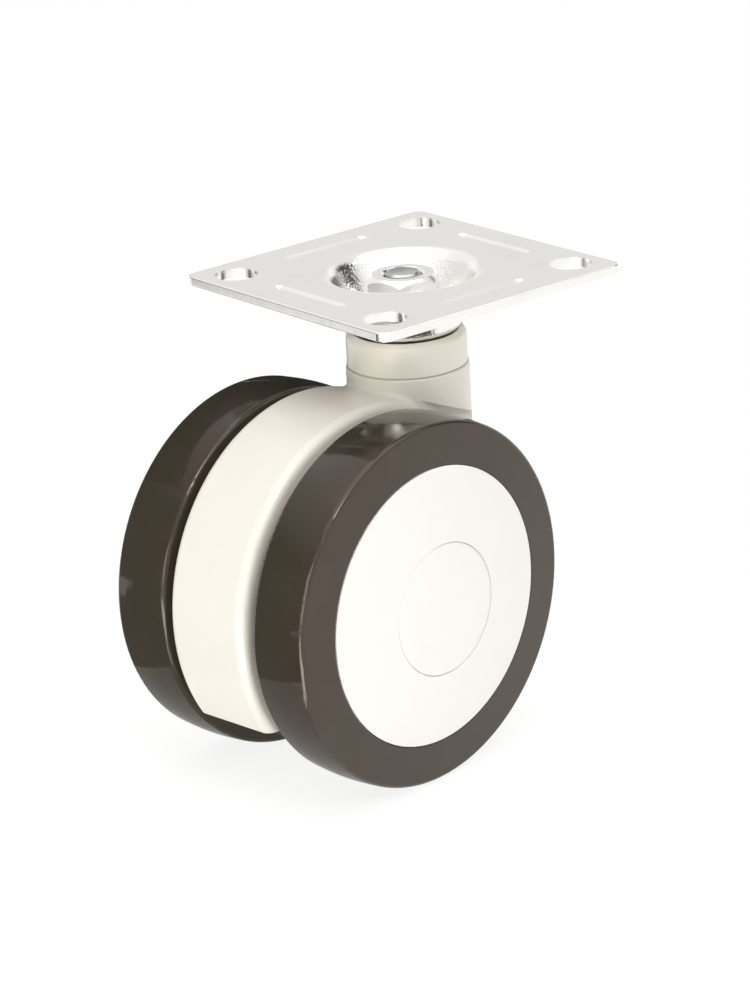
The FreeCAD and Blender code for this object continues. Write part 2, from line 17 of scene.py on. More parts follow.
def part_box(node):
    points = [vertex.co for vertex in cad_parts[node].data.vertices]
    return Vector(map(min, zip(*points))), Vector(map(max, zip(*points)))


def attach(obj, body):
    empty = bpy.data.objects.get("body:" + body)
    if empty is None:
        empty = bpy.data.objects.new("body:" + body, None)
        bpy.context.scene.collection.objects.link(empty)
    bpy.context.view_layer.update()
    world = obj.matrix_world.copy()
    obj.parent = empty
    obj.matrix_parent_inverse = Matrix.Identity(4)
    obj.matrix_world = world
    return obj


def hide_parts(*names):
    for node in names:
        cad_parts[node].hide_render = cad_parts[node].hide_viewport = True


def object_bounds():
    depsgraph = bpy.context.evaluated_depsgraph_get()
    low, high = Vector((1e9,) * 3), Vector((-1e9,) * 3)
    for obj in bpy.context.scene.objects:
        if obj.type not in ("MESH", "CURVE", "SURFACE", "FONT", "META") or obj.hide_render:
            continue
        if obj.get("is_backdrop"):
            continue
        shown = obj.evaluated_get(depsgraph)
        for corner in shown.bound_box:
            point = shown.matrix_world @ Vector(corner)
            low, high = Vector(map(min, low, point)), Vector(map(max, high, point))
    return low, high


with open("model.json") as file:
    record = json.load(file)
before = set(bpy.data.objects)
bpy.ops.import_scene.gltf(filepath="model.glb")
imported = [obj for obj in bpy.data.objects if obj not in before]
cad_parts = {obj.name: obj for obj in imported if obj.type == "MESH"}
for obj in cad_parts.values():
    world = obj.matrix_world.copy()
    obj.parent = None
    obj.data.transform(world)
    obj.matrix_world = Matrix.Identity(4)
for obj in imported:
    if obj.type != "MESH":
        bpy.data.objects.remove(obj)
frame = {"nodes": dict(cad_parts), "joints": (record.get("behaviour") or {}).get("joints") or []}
LOG = logging.getLogger("caster")

Span = tuple[float, float]
Triple = tuple[float, float, float]
Colour = Triple
Relief = tuple[float, float]  # strength of a bump and its depth in metres
Tree = bpy.types.NodeTree
Node = bpy.types.Node
Socket = bpy.types.NodeSocket

MM = 0.001
WHITE: Colour = (1.0, 1.0, 1.0)
FULL_RANGE: Span = (0.0, 1.0)
ORIGIN = Vector((0.0, 0.0, 0.0))
UP = Vector((0.0, 0.0, 1.0))
CASTER_MIDDLE = Vector((-0.012, 0.0, -0.05))

# Colour sockets of the Mix node, whose names its other data types share
MIX_LOW, MIX_HIGH, MIX_RESULT = 6, 7, 2


class Side(Enum):
    """The caster's two wheels, named by the body prefix they carry."""

    LEFT = "left"
    RIGHT = "right"

    @property
    def sign(self) -> float:
        """Direction of the wheel from the fork's middle, along the axle."""
        return 1.0 if self is Side.LEFT else -1.0


class Effect(Enum):
    """Shader node groups shared by several finishes."""

    MOULDED = "moulded skin"
    FILM = "handled film"
    TURNED = "turned lines"
    ROLLED = "rolled sheet"


def rgba(colour: Colour) -> tuple[float, float, float, float]:
    """Colour with a full alpha for a node socket."""
    return (*colour, 1.0)


def deselect() -> None:
    """Leave object mode with nothing selected."""
    if bpy.context.object and bpy.context.object.mode != "OBJECT":
        bpy.ops.object.mode_set(mode="OBJECT")
    bpy.ops.object.select_all(action="DESELECT")


def pick(*pieces: bpy.types.Object) -> None:
    """Select some pieces alone, with the last one active.

    Args:
        pieces: The pieces to select.
    """
    deselect()
    for piece in pieces:
        piece.select_set(True)
    bpy.context.view_layer.objects.active = pieces[-1]


def math_node(
    tree: Tree, operation: str, first: Socket | float, second: Socket | float = 0.0
) -> Socket:
    """Math node on sockets or numbers.

    Args:
        tree: The tree that gets the node.
        operation: Blender's name of the operation.
        first: First operand.
        second: Second operand, left out where the operation has one.

    Returns:
        The result socket.
    """
    node = tree.nodes.new("ShaderNodeMath")
    node.operation = operation
    for socket, operand in zip(node.inputs, (first, second)):
        if isinstance(operand, float):
            socket.default_value = operand
        else:
            tree.links.new(operand, socket)
    return node.outputs["Value"]


def range_node(
    tree: Tree, value: Socket, source: Span, target: Span, smooth: bool = False
) -> Socket:
    """Clamped map of a value from one range to another.

    Args:
        tree: The tree that gets the node.
        value: Socket to map.
        source: Range read.
        target: Range written.
        smooth: Whether the ends are eased.

    Returns:
        The mapped socket.
    """
    node = tree.nodes.new("ShaderNodeMapRange")
    node.interpolation_type = "SMOOTHSTEP" if smooth else "LINEAR"
    labels = ("From Min", "From Max", "To Min", "To Max")
    for label, number in zip(labels, (*source, *target)):
        node.inputs[label].default_value = number
    tree.links.new(value, node.inputs["Value"])
    return node.outputs["Result"]


@dataclass
class EffectLibrary:
    """Builds each shared node group once and hands it out."""

    noise_roughness: float = 0.55
    flow_stretch: Triple = (1.0, 1.6, 0.45)
    flow_detail: float = 3.0
    flow_contrast: Span = (0.32, 0.68)
    flow_share: float = 0.7
    grain_detail: float = 2.0
    grain_share: float = 0.3
    blotch_detail: float = 4.0
    blotch_contrast: Span = (0.42, 0.72)
    smear_turn: Triple = (0.4, 0.7, 0.2)
    smear_stretch: Triple = (1.0, 0.25, 1.0)
    smear_detail: float = 3.0
    smear_contrast: Span = (0.35, 0.65)
    smear_cover: Span = (0.35, 1.0)
    ring_detail: float = 3.0
    ring_scale: float = 1.0
    shade_scale: float = 160.0
    shade_contrast: Span = (0.35, 0.65)
    streak_stretch: Triple = (0.04, 1.0, 1.0)
    streak_detail: float = 4.0
    peel_detail: float = 2.0
    crystal_scale: float = 1500.0
    groups: dict[Effect, Tree] = field(default_factory=dict)

    def get(self, effect: Effect) -> Tree:
        """Node group of an effect.

        Args:
            effect: The effect wanted.

        Returns:
            The group, built at its first use.
        """
        if effect not in self.groups:
            builders = {
                Effect.MOULDED: self._moulded,
                Effect.FILM: self._film,
                Effect.TURNED: self._turned,
                Effect.ROLLED: self._rolled,
            }
            self.groups[effect] = builders[effect](effect.value)
        return self.groups[effect]

    @staticmethod
    def _start(name: str, inputs: list[str], outputs: list[str]) -> tuple[Tree, Node, Node]:
        """Empty group with a coordinates socket and named value sockets.

        Args:
            name: The group's name.
            inputs: Value inputs.
            outputs: Value outputs.

        Returns:
            The group, its input node and its output node.
        """
        group = bpy.data.node_groups.new(name, "ShaderNodeTree")
        sockets = [("Coordinates", "INPUT", "NodeSocketVector")]
        sockets += [(label, "INPUT", "NodeSocketFloat") for label in inputs]
        sockets += [(label, "OUTPUT", "NodeSocketFloat") for label in outputs]
        for label, way, kind in sockets:
            group.interface.new_socket(label, in_out=way, socket_type=kind)
        return group, group.nodes.new("NodeGroupInput"), group.nodes.new("NodeGroupOutput")

    @staticmethod
    def _stretch(
        group: Tree, vector: Socket, scale: Triple, turn: Triple = (0.0, 0.0, 0.0)
    ) -> Socket:
        """Coordinates scaled along each axis and turned.

        Args:
            group: The group that gets the node.
            vector: Socket with the coordinates.
            scale: Scale along each axis.
            turn: Turn about each axis, in radians.

        Returns:
            The mapped coordinates socket.
        """
        mapping = group.nodes.new("ShaderNodeMapping")
        mapping.inputs["Rotation"].default_value = turn
        mapping.inputs["Scale"].default_value = scale
        group.links.new(vector, mapping.inputs["Vector"])
        return mapping.outputs["Vector"]

    def _noise(self, group: Tree, vector: Socket, scale: Socket, detail: float) -> Socket:
        """Noise read at a vector with a linked scale.

        Args:
            group: The group that gets the node.
            vector: Socket with the coordinates.
            scale: Socket with the noise scale.
            detail: Octaves of the noise.

        Returns:
            The noise factor socket.
        """
        noise = group.nodes.new("ShaderNodeTexNoise")
        noise.inputs["Detail"].default_value = detail
        noise.inputs["Roughness"].default_value = self.noise_roughness
        group.links.new(vector, noise.inputs["Vector"])
        group.links.new(scale, noise.inputs["Scale"])
        return noise.outputs["Fac"]

    def _moulded(self, name: str) -> Tree:
        """Skin of a moulded part: slow flow marks, fine spark grain and uneven gloss.

        Args:
            name: The group's name.

        Returns:
            The group.
        """
        group, inside, outside = self._start(
            name, ["Flow Scale", "Grain Scale"], ["Flow", "Grain", "Gloss"]
        )
        coordinates = inside.outputs["Coordinates"]
        along = self._stretch(group, coordinates, self.flow_stretch)
        flow = self._noise(group, along, inside.outputs["Flow Scale"], self.flow_detail)
        grain = self._noise(group, coordinates, inside.outputs["Grain Scale"], self.grain_detail)
        mask = range_node(group, flow, self.flow_contrast, FULL_RANGE, smooth=True)
        slow = math_node(group, "MULTIPLY", mask, self.flow_share)
        fine = math_node(group, "MULTIPLY", grain, self.grain_share)
        group.links.new(mask, outside.inputs["Flow"])
        group.links.new(grain, outside.inputs["Grain"])
        group.links.new(math_node(group, "ADD", slow, fine), outside.inputs["Gloss"])
        return group

    def _film(self, name: str) -> Tree:
        """Thin film left by handling: soft blotches broken up by small smears.

        Args:
            name: The group's name.

        Returns:
            The group.
        """
        group, inside, outside = self._start(name, ["Blotch Scale", "Smear Scale"], ["Film"])
        coordinates = inside.outputs["Coordinates"]
        blotch = self._noise(
            group, coordinates, inside.outputs["Blotch Scale"], self.blotch_detail
        )
        wiped = self._stretch(group, coordinates, self.smear_stretch, self.smear_turn)
        smear = self._noise(group, wiped, inside.outputs["Smear Scale"], self.smear_detail)
        soft = range_node(group, blotch, self.blotch_contrast, FULL_RANGE, smooth=True)
        broken = range_node(group, smear, self.smear_contrast, self.smear_cover, smooth=True)
        group.links.new(math_node(group, "MULTIPLY", soft, broken), outside.inputs["Film"])
        return group

    def _turned(self, name: str) -> Tree:
        """Tool lines of a lathe: rings that change with the radius and the height along Z.

        Args:
            name: The group's name.

        Returns:
            The group.
        """
        group, inside, outside = self._start(name, ["Line Scale"], ["Lines", "Shade"])
        coordinates = inside.outputs["Coordinates"]
        parts = group.nodes.new("ShaderNodeSeparateXYZ")
        group.links.new(coordinates, parts.inputs["Vector"])
        squares = [
            math_node(group, "MULTIPLY", parts.outputs[way], parts.outputs[way]) for way in "XY"
        ]
        radius = math_node(group, "SQRT", math_node(group, "ADD", *squares))
        station = math_node(group, "ADD", radius, parts.outputs["Z"])
        place = math_node(group, "MULTIPLY", station, inside.outputs["Line Scale"])
        ring = group.nodes.new("ShaderNodeTexNoise")
        ring.noise_dimensions = "1D"
        ring.inputs["Detail"].default_value = self.ring_detail
        ring.inputs["Scale"].default_value = self.ring_scale
        group.links.new(place, ring.inputs["W"])
        slow = group.nodes.new("ShaderNodeTexNoise")
        slow.inputs["Scale"].default_value = self.shade_scale
        group.links.new(coordinates, slow.inputs["Vector"])
        shade = range_node(
            group, slow.outputs["Fac"], self.shade_contrast, FULL_RANGE, smooth=True
        )
        group.links.new(ring.outputs["Fac"], outside.inputs["Lines"])
        group.links.new(shade, outside.inputs["Shade"])
        return group

    def _rolled(self, name: str) -> Tree:
        """Rolled and plated sheet: long mill streaks, a soft orange peel and a fine crystal.

        Args:
            name: The group's name.

        Returns:
            The group.
        """
        group, inside, outside = self._start(
            name, ["Streak Scale", "Peel Scale"], ["Streaks", "Peel", "Crystal"]
        )
        coordinates = inside.outputs["Coordinates"]
        along = self._stretch(group, coordinates, self.streak_stretch)
        streaks = self._noise(group, along, inside.outputs["Streak Scale"], self.streak_detail)
        peel = self._noise(group, coordinates, inside.outputs["Peel Scale"], self.peel_detail)
        crystal = group.nodes.new("ShaderNodeTexVoronoi")
        crystal.inputs["Scale"].default_value = self.crystal_scale
        group.links.new(coordinates, crystal.inputs["Vector"])
        group.links.new(streaks, outside.inputs["Streaks"])
        group.links.new(peel, outside.inputs["Peel"])
        group.links.new(crystal.outputs["Distance"], outside.inputs["Crystal"])
        return group


class MaterialSheet:
    """One material under construction, with short calls for its nodes."""

    def __init__(self, name: str, library: EffectLibrary) -> None:
        """Start a node material with one Principled shader.

        Args:
            name: The material's name.
            library: Where the shared effects come from.
        """
        self.library = library
        self.material = bpy.data.materials.new(name)
        self.material.use_nodes = True
        self.tree = self.material.node_tree
        self.shader = self.tree.nodes["Principled BSDF"]
        self.coordinates = self.tree.nodes.new("ShaderNodeTexCoord").outputs["Object"]

    def place(self, centre: Vector, axis: Vector) -> Socket:
        """Coordinates centred on a point, with Z along an axis.

        Args:
            centre: The point that becomes the origin.
            axis: The direction that becomes Z.

        Returns:
            The mapped coordinates socket.
        """
        turn = axis.to_track_quat("Z", "X").to_matrix().inverted()
        mapping = self.tree.nodes.new("ShaderNodeMapping")
        mapping.inputs["Rotation"].default_value = turn.to_euler()
        mapping.inputs["Location"].default_value = -(turn @ centre)
        self.tree.links.new(self.coordinates, mapping.inputs["Vector"])
        return mapping.outputs["Vector"]

    def effect(
        self, effect: Effect, values: dict[str, float], coordinates: Socket | None = None
    ) -> Node:
        """Shared effect placed in this material.

        Args:
            effect: The effect wanted.
            values: Values of its inputs.
            coordinates: Where it is read, the object coordinates if left out.

        Returns:
            The group node.
        """
        node = self.tree.nodes.new("ShaderNodeGroup")
        node.node_tree = self.library.get(effect)
        for label, value in values.items():
            node.inputs[label].default_value = value
        self.tree.links.new(coordinates or self.coordinates, node.inputs["Coordinates"])
        return node

    def mix(self, mask: Socket, low: Colour, high: Colour) -> Socket:
        """Colour that goes from one tone to another with a mask.

        Args:
            mask: Socket from 0 to 1.
            low: Colour at 0.
            high: Colour at 1.

        Returns:
            The colour socket.
        """
        node = self.tree.nodes.new("ShaderNodeMix")
        node.data_type = "RGBA"
        node.inputs[MIX_LOW].default_value = rgba(low)
        node.inputs[MIX_HIGH].default_value = rgba(high)
        self.tree.links.new(mask, node.inputs["Factor"])
        return node.outputs[MIX_RESULT]

    def level(self, mask: Socket, levels: Span) -> Socket:
        """Value that goes from one level to another with a mask from 0 to 1."""
        return range_node(self.tree, mask, FULL_RANGE, levels)

    def bump(self, height: Socket, relief: Relief, under: Socket | None = None) -> Socket:
        """Bump node over an optional other bump.

        Args:
            height: Socket with the height.
            relief: Strength of the bump and its depth.
            under: Normal of the bump below.

        Returns:
            The normal socket.
        """
        node = self.tree.nodes.new("ShaderNodeBump")
        strength, depth = relief
        node.inputs["Strength"].default_value = strength
        node.inputs["Distance"].default_value = depth
        self.tree.links.new(height, node.inputs["Height"])
        if under:
            self.tree.links.new(under, node.inputs["Normal"])
        return node.outputs["Normal"]

    def feed(self, **sockets: Socket) -> None:
        """Link sockets to the shader's inputs, underscores standing for spaces."""
        for label, socket in sockets.items():
            self.tree.links.new(socket, self.shader.inputs[label.replace("_", " ").title()])

    def fix(self, **values: float | tuple[float, ...]) -> None:
        """Set the shader's inputs that are the same all over the surface."""
        for label, value in values.items():
            name = "IOR" if label == "ior" else label.replace("_", " ").title()
            self.shader.inputs[name].default_value = value


@dataclass(frozen=True)
class MouldedPlastic:
    """Smooth injection moulded plastic."""

    name: str
    tone: Colour
    shade: Colour
    roughness: Span = (0.27, 0.33)
    coat: Span = (0.19, 0.16)
    coat_roughness: float = 0.08
    refraction: float = 1.49
    flow_scale: float = 55.0
    grain_scale: float = 4200.0
    grain_relief: Relief = (0.15, 0.006 * MM)
    blotch_scale: float = 70.0
    smear_scale: float = 520.0

    def make(self, library: EffectLibrary) -> bpy.types.Material:
        """Material of this plastic.

        Args:
            library: Where the shared effects come from.

        Returns:
            The material.
        """
        sheet = MaterialSheet(self.name, library)
        skin = sheet.effect(
            Effect.MOULDED, {"Flow Scale": self.flow_scale, "Grain Scale": self.grain_scale}
        )
        film = sheet.effect(
            Effect.FILM, {"Blotch Scale": self.blotch_scale, "Smear Scale": self.smear_scale}
        )
        sheet.feed(
            base_color=sheet.mix(skin.outputs["Flow"], self.shade, self.tone),
            roughness=sheet.level(skin.outputs["Gloss"], self.roughness),
            coat_weight=sheet.level(film.outputs["Film"], self.coat),
            normal=sheet.bump(skin.outputs["Grain"], self.grain_relief),
        )
        sheet.fix(ior=self.refraction, coat_roughness=self.coat_roughness)
        return sheet.material


@dataclass(frozen=True)
class TyrePolyurethane:
    """Dark cast tyre with a wet gloss."""

    name: str
    tone: Colour
    dust: Colour
    gloss_tint: Colour = (1.0, 0.85, 0.76)
    roughness: Span = (0.085, 0.12)
    refraction: float = 1.52
    flow_scale: float = 42.0
    flow_relief: Relief = (0.05, 0.02 * MM)
    blotch_scale: float = 60.0
    smear_scale: float = 170.0

    def make(self, library: EffectLibrary) -> bpy.types.Material:
        """Material of the tyre.

        Args:
            library: Where the shared effects come from.

        Returns:
            The material.
        """
        sheet = MaterialSheet(self.name, library)
        skin = sheet.effect(Effect.MOULDED, {"Flow Scale": self.flow_scale})
        film = sheet.effect(
            Effect.FILM, {"Blotch Scale": self.blotch_scale, "Smear Scale": self.smear_scale}
        )
        sheet.feed(
            base_color=sheet.mix(film.outputs["Film"], self.tone, self.dust),
            roughness=sheet.level(film.outputs["Film"], self.roughness),
            normal=sheet.bump(skin.outputs["Flow"], self.flow_relief),
        )
        sheet.fix(ior=self.refraction, specular_tint=rgba(self.gloss_tint))
        return sheet.material


@dataclass(frozen=True)
class PlatedSheet:
    """Bright plated pressed sheet, its drawn dish a little rougher."""

    name: str
    tone: Colour
    shade: Colour
    dish_radius: float
    dish_fade: float = 2.5 * MM
    roughness: Span = (0.13, 0.27)
    streak_scale: float = 520.0
    streak_relief: Relief = (0.12, 0.012 * MM)
    peel_scale: float = 330.0
    peel_relief: Relief = (0.16, 0.06 * MM)
    crystal_relief: Relief = (0.35, 0.12 * MM)
    blotch_scale: float = 60.0
    smear_scale: float = 380.0

    def make(self, library: EffectLibrary) -> bpy.types.Material:
        """Material of the plate.

        Args:
            library: Where the shared effects come from.

        Returns:
            The material.
        """
        sheet = MaterialSheet(self.name, library)
        rolled = sheet.effect(
            Effect.ROLLED, {"Streak Scale": self.streak_scale, "Peel Scale": self.peel_scale}
        )
        film = sheet.effect(
            Effect.FILM, {"Blotch Scale": self.blotch_scale, "Smear Scale": self.smear_scale}
        )
        drawn = math_node(
            sheet.tree, "MULTIPLY", rolled.outputs["Crystal"], self._dish_mask(sheet)
        )
        fine = sheet.bump(rolled.outputs["Streaks"], self.streak_relief)
        peel = sheet.bump(rolled.outputs["Peel"], self.peel_relief, fine)
        sheet.feed(
            base_color=sheet.mix(film.outputs["Film"], self.tone, self.shade),
            roughness=sheet.level(rolled.outputs["Streaks"], self.roughness),
            normal=sheet.bump(drawn, self.crystal_relief, peel),
        )
        sheet.fix(metallic=1.0)
        return sheet.material

    def _dish_mask(self, sheet: MaterialSheet) -> Socket:
        """Mask of the drawn dish, by distance from the swivel axis.

        Args:
            sheet: The material that gets the nodes.

        Returns:
            Socket that is 1 in the dish and 0 on the flat plate.
        """
        flat = sheet.tree.nodes.new("ShaderNodeVectorMath")
        flat.operation = "MULTIPLY"
        flat.inputs[1].default_value = (1.0, 1.0, 0.0)
        sheet.tree.links.new(sheet.coordinates, flat.inputs[0])
        reach = sheet.tree.nodes.new("ShaderNodeVectorMath")
        reach.operation = "LENGTH"
        sheet.tree.links.new(flat.outputs["Vector"], reach.inputs[0])
        edge = (self.dish_radius, self.dish_radius - self.dish_fade)
        return range_node(sheet.tree, reach.outputs["Value"], edge, FULL_RANGE, smooth=True)


@dataclass(frozen=True)
class TurnedMetal:
    """Turned or ground metal with tool lines about its own axis."""

    name: str
    tone: Colour
    shade: Colour
    roughness: Span = (0.18, 0.34)
    line_scale: float = 9000.0
    line_relief: Relief = (0.3, 0.008 * MM)

    def make(self, library: EffectLibrary, centre: Vector, axis: Vector) -> bpy.types.Material:
        """Material of this metal on one axis.

        Args:
            library: Where the shared effects come from.
            centre: A point on the turning axis.
            axis: Direction of the turning axis.

        Returns:
            The material.
        """
        sheet = MaterialSheet(self.name, library)
        place = sheet.place(centre, axis)
        turned = sheet.effect(Effect.TURNED, {"Line Scale": self.line_scale}, place)
        sheet.feed(
            base_color=sheet.mix(turned.outputs["Shade"], self.tone, self.shade),
            roughness=sheet.level(turned.outputs["Lines"], self.roughness),
            normal=sheet.bump(turned.outputs["Lines"], self.line_relief),
        )
        sheet.fix(metallic=1.0)
        return sheet.material


IVORY_HOUSING = MouldedPlastic("ivory_housing", (0.862, 0.825, 0.735), (0.854, 0.816, 0.723))
IVORY_COVER = MouldedPlastic("ivory_cover", (0.865, 0.838, 0.785), (0.860, 0.832, 0.778))
# The collar's own ivory, set lighter than the housing's: painted light that makes up for the
# shade under the plate
COLLAR_PAINTED_LIGHTER = MouldedPlastic("collar_ivory_painted_lighter", (0.930, 0.890, 0.778), (0.920, 0.878, 0.764))
WHEEL_BODY = MouldedPlastic(
    "wheel_body", (0.640, 0.610, 0.540), (0.600, 0.570, 0.500), roughness=(0.40, 0.55)
)
CAGE_NYLON = MouldedPlastic(
    "cage_nylon", (0.620, 0.580, 0.480), (0.560, 0.520, 0.420), roughness=(0.38, 0.52)
)
DARK_TYRE = TyrePolyurethane("dark_tyre", (0.0430, 0.0345, 0.0245), (0.0495, 0.0400, 0.0295))
BRIGHT_PLATE = PlatedSheet(
    "bright_plate", (0.930, 0.912, 0.878), (0.900, 0.880, 0.842), dish_radius=17.0 * MM
)
BRIGHT_NUT = TurnedMetal(
    "bright_nut", (0.920, 0.915, 0.900), (0.860, 0.853, 0.835), (0.14, 0.28), 5200.0
)
# Painted reflection: the thread's metal is set darker than the nut so its end gives a dark patch
# in the dish
THREAD_PAINTED_DARK = TurnedMetal(
    "thread_painted_dark", (0.520, 0.510, 0.490), (0.300, 0.295, 0.285), (0.22, 0.42), 5200.0
)
GROUND_STEEL = TurnedMetal("ground_steel", (0.600, 0.600, 0.600), (0.520, 0.520, 0.525))
BLACK_SPRING = TurnedMetal(
    "black_spring_steel", (0.130, 0.130, 0.138), (0.100, 0.100, 0.108), (0.30, 0.46)
)
SINTERED_BRONZE = TurnedMetal(
    "sintered_bronze", (0.560, 0.370, 0.170), (0.480, 0.310, 0.140), (0.34, 0.52), 4200.0
)


def coat(piece: bpy.types.Object, material: bpy.types.Material) -> None:
    """Give one piece a single material.

    Args:
        piece: The piece.
        material: Its finish.
    """
    piece.data.materials.clear()
    piece.data.materials.append(material)
    LOG.info("dressed %s with %s", piece.name, material.name)


def dress(nodes: list[str], material: bpy.types.Material) -> None:
    """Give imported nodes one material, by their names."""
    for name in nodes:
        coat(frame["nodes"][name], material)


def turned_solid(name: str, profile: list[Span], steps: int) -> bpy.types.Object:
    """Closed turned solid about Z, raised ring by ring.

    Args:
        name: The object's name.
        profile: Radius and level of each ring, from the first face to the last.
        steps: Corners of each ring.

    Returns:
        The object, in object mode.
    """
    (radius, level), *rest = profile
    deselect()
    bpy.ops.mesh.primitive_circle_add(
        vertices=steps, radius=radius, fill_type="NGON", location=(0.0, 0.0, level)
    )
    piece = bpy.context.object
    piece.name = name
    bpy.ops.object.transform_apply(location=True, rotation=True, scale=True)
    bpy.ops.object.mode_set(mode="EDIT")
    bpy.ops.mesh.select_all(action="SELECT")
    for next_radius, next_level in rest:
        rise = (0.0, 0.0, next_level - level)
        bpy.ops.mesh.extrude_region_move(TRANSFORM_OT_translate={"value": rise})
        share = next_radius / radius
        bpy.ops.transform.resize(
            value=(share, share, 1.0), center_override=(0.0, 0.0, next_level)
        )
        radius, level = next_radius, next_level
    bpy.ops.mesh.select_all(action="SELECT")
    bpy.ops.mesh.normals_make_consistent(inside=False)
    bpy.ops.object.mode_set(mode="OBJECT")
    return piece


@dataclass
class TopPlate:
    """Pressed plate with its dish."""

    library: EffectLibrary

    def dress(self) -> None:
        """Give the plate its bright finish."""
        dress(["top_plate"], BRIGHT_PLATE.make(self.library))


@dataclass
class KingPin:
    """Nut, washers, threaded pin and swivel bearing on the swivel axis."""

    library: EffectLibrary
    thread_pitch: float = 1.25 * MM
    thread_form: tuple[tuple[int, int], ...] = ((0, 4), (1, 5), (0, 2), (-1, 5))
    thread_form_parts: int = 16
    crest_radius: float = 3.96 * MM
    root_radius: float = 3.30 * MM
    thread_foot: float = -13.2 * MM
    shank_radius: float = 5.0 * MM
    groove_radius: float = 4.5 * MM
    groove_levels: Span = (-41.4 * MM, -40.4 * MM)
    chamfer: float = 0.8 * MM
    overlap: float = 0.2 * MM
    weld: float = 0.001 * MM
    steps: int = 64
    smooth_angle: float = math.radians(32.0)
    pin: bpy.types.Object | None = None

    def build(self) -> None:
        """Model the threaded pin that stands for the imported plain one."""
        low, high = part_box("king_pin")
        groove_low, groove_high = self.groove_levels
        self.pin = turned_solid(
            "threaded_king_pin",
            [
                (self.shank_radius - self.chamfer, low.z),
                (self.shank_radius, low.z + self.chamfer),
                (self.shank_radius, groove_low),
                (self.groove_radius, groove_low),
                (self.groove_radius, groove_high),
                (self.shank_radius, groove_high),
                (self.shank_radius, self.thread_foot),
            ],
            self.steps,
        )
        thread = self._thread(high.z)
        pick(thread, self.pin)
        bpy.ops.object.join()
        bpy.ops.object.shade_smooth_by_angle(angle=self.smooth_angle)
        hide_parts("king_pin")
        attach(self.pin, "plate")
        LOG.info("built %s, %d faces", self.pin.name, len(self.pin.data.polygons))

    def _thread(self, top: float) -> bpy.types.Object:
        """Helical thread with flat ends and a chamfered start.

        The thread's form is drawn point by point, each step a side of the
        thread's depth and a number of parts of its pitch, and then screwed up.

        Args:
            top: Level of the pin's end.

        Returns:
            The object, in object mode.
        """
        foot = self.thread_foot - self.overlap
        pitch, depth = self.thread_pitch, self.crest_radius - self.root_radius
        deselect()
        bpy.ops.mesh.primitive_plane_add(
            size=pitch, location=(self.root_radius, 0.0, foot - pitch)
        )
        thread = bpy.context.object
        bpy.ops.object.transform_apply(location=True, rotation=True, scale=True)
        bpy.ops.object.mode_set(mode="EDIT")
        bpy.ops.mesh.select_all(action="SELECT")
        bpy.ops.mesh.merge(type="CENTER")
        for side, parts in self.thread_form:
            step = (side * depth, 0.0, parts * pitch / self.thread_form_parts)
            bpy.ops.mesh.extrude_vertices_move(TRANSFORM_OT_translate={"value": step})
        bpy.ops.object.mode_set(mode="OBJECT")
        screw = thread.modifiers.new("helix", "SCREW")
        screw.axis = "Z"
        screw.screw_offset = pitch
        screw.iterations = math.ceil((top - foot) / pitch) + 1
        screw.steps = screw.render_steps = self.steps
        screw.use_merge_vertices = True
        screw.merge_threshold = self.weld
        bpy.ops.object.modifier_apply(modifier=screw.name)
        bpy.ops.object.mode_set(mode="EDIT")
        for level, ends in ((top, {"clear_outer": True}), (foot, {"clear_inner": True})):
            bpy.ops.mesh.select_all(action="SELECT")
            bpy.ops.mesh.bisect(plane_co=(0.0, 0.0, level), plane_no=UP, use_fill=True, **ends)
        bpy.ops.mesh.select_all(action="SELECT")
        bpy.ops.mesh.remove_doubles(threshold=self.weld)
        bpy.ops.mesh.normals_make_consistent(inside=False)
        bpy.ops.object.mode_set(mode="OBJECT")
        self._chamfer(thread, foot, top)
        return thread

    def _chamfer(self, thread: bpy.types.Object, foot: float, top: float) -> None:
        """Cut the thread's start back to a chamfered blank.

        Args:
            thread: The thread to cut.
            foot: Level of the thread's lower end.
            top: Level of the pin's end.
        """
        wide = self.crest_radius + self.overlap
        blank = turned_solid(
            "thread_blank",
            [
                (wide, foot - self.overlap),
                (wide, top - self.chamfer - self.overlap),
                (self.crest_radius - self.chamfer, top),
                (self.crest_radius - self.chamfer, top + self.overlap),
            ],
            self.steps,
        )
        pick(thread)
        cut = thread.modifiers.new("chamfer", "BOOLEAN")
        cut.operation = "INTERSECT"
        cut.solver = "EXACT"
        cut.object = blank
        bpy.ops.object.modifier_apply(modifier=cut.name)
        bpy.data.objects.remove(blank)

    def dress(self) -> None:
        """Bright nut and washers, a thread painted dark for a painted reflection in the dish,
        ground races, black clip, bronze bush.
        """
        bright = ["king_nut", "king_spring_washer", "king_plain_washer"]
        ground = ["upper_race", "lower_race", "swivel_balls", "pin_thrust_washer"]
        dress(bright, BRIGHT_NUT.make(self.library, ORIGIN, UP))
        # the thread's dark metal is a painted dark reflection in the dish
        coat(self.pin, THREAD_PAINTED_DARK.make(self.library, ORIGIN, UP))
        dress(ground, GROUND_STEEL.make(self.library, ORIGIN, UP))
        dress(["pin_clip"], BLACK_SPRING.make(self.library, ORIGIN, UP))
        dress(["king_pin_bush"], SINTERED_BRONZE.make(self.library, ORIGIN, UP))
        dress(["swivel_cage"], CAGE_NYLON.make(self.library))


@dataclass
class Fork:
    """Moulded housing with its dust collar and axle."""

    library: EffectLibrary
    axle_centre: Vector
    axle_axis: Vector

    def dress(self) -> None:
        """Ivory housing, a grey ivory collar set lighter as painted light against the plate's
        shade, and a ground axle.
        """
        dress(["caster_housing"], IVORY_HOUSING.make(self.library))
        # the collar's colour carries painted light against the plate's shade
        dress(["swivel_collar"], COLLAR_PAINTED_LIGHTER.make(self.library))
        dress(["axle"], GROUND_STEEL.make(self.library, self.axle_centre, self.axle_axis))


